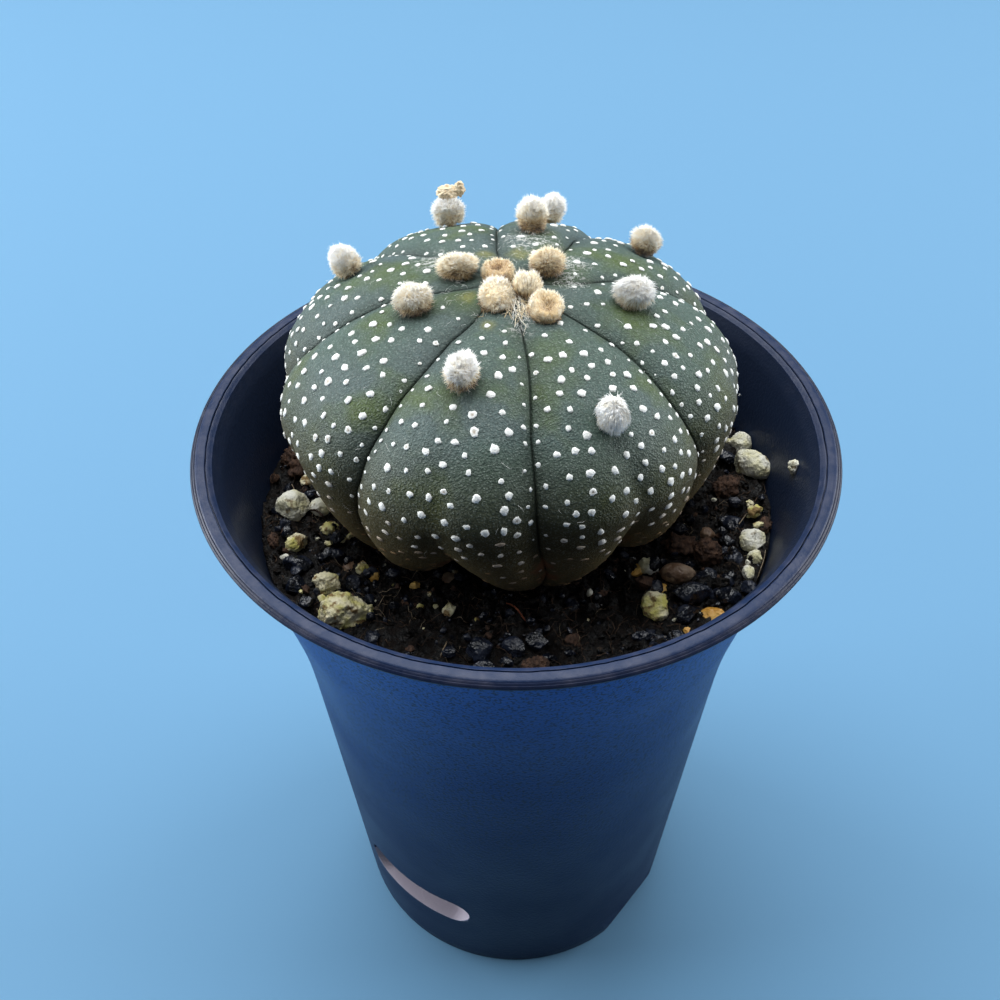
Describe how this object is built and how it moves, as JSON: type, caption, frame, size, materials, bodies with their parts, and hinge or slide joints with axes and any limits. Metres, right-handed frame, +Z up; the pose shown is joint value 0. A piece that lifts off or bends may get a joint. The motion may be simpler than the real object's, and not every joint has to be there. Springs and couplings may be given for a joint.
{
  "type": "potted star cactus",
  "caption": "Low ribbed star cactus with woolly tufts and white flecks, in dark gritty soil, in a small round flaring plastic nursery pot.",
  "frame": {"origin": "middle of the pot's foot, on the surface that it stands on", "axes": "+Z up along the pot's axis; -Y towards the front of the picture's view"},
  "size_m": [0.09, 0.09, 0.1351],
  "materials": {
    "pot_plastic": "satin dark blue, injection moulded, finely speckled",
    "soil": "dark damp peat with grit and fibres",
    "cactus_skin": "matt grey-green skin with fine pale specks and woolly flecks",
    "wool_white": "short dense off-white wool",
    "wool_tan": "short dense tan wool, whiter at the tips",
    "dried_flower": "papery beige, crumpled",
    "pumice_white": "pitted off-white stone",
    "pumice_yellow": "pitted yellowish stone",
    "pebble_black": "smooth damp blue-black stone with a soft shine",
    "pebble_brown": "smooth brown stone",
    "pebble_amber": "smooth amber stone",
    "bark": "fibrous red-brown bark and peat lumps"
  },
  "bodies": {
    "root": {"pot": "pot_plastic", "soil": "soil", "cactus_body": "cactus_skin", "areole_wool_front_left": "wool_white", "areole_wool_front_right": "wool_white", "areole_wool_right": "wool_white", "areole_wool_back_right": "wool_white", "areole_wool_back_inner": "wool_white", "areole_wool_back_outer": "wool_white", "areole_wool_back_left": "wool_white", "areole_wool_left_back": "wool_white", "areole_wool_left": "wool_white", "areole_wool_crown_left": "wool_tan", "areole_wool_crown_right": "wool_tan", "crown_wool": "wool_tan", "dried_bud": "dried_flower", "pumice_yellow_large": "pumice_yellow", "pumice_white_left": "pumice_white", "pumice_white_behind": "pumice_white", "pumice_chip_left": "pumice_yellow", "pebble_green_round": "pumice_yellow", "pebble_left_upper": "pebble_black", "pebble_left_lower": "pebble_black", "pebble_left_inner": "pebble_black", "bark_chip_left": "bark", "bark_lump_far_left": "bark", "pumice_white_oval": "pumice_white", "pumice_cream": "pumice_white", "pumice_crumbly": "pumice_white", "pumice_small_upper": "pumice_white", "pumice_small_lower": "pumice_white", "bark_lump_right": "bark", "peat_lump_right": "bark", "pebble_right_upper": "pebble_black", "pebble_brown_smooth": "pebble_brown", "pebble_black_large": "pebble_black", "pebble_right_lower": "pebble_black", "pebble_black_far_right": "pebble_black", "pebble_amber": "pebble_amber", "pumice_green": "pumice_yellow", "pebble_black_front_left": "pebble_black", "pebble_black_front": "pebble_black", "pebble_black_front_right": "pebble_black", "bark_chip_front": "bark"}
  },
  "joints": []
}
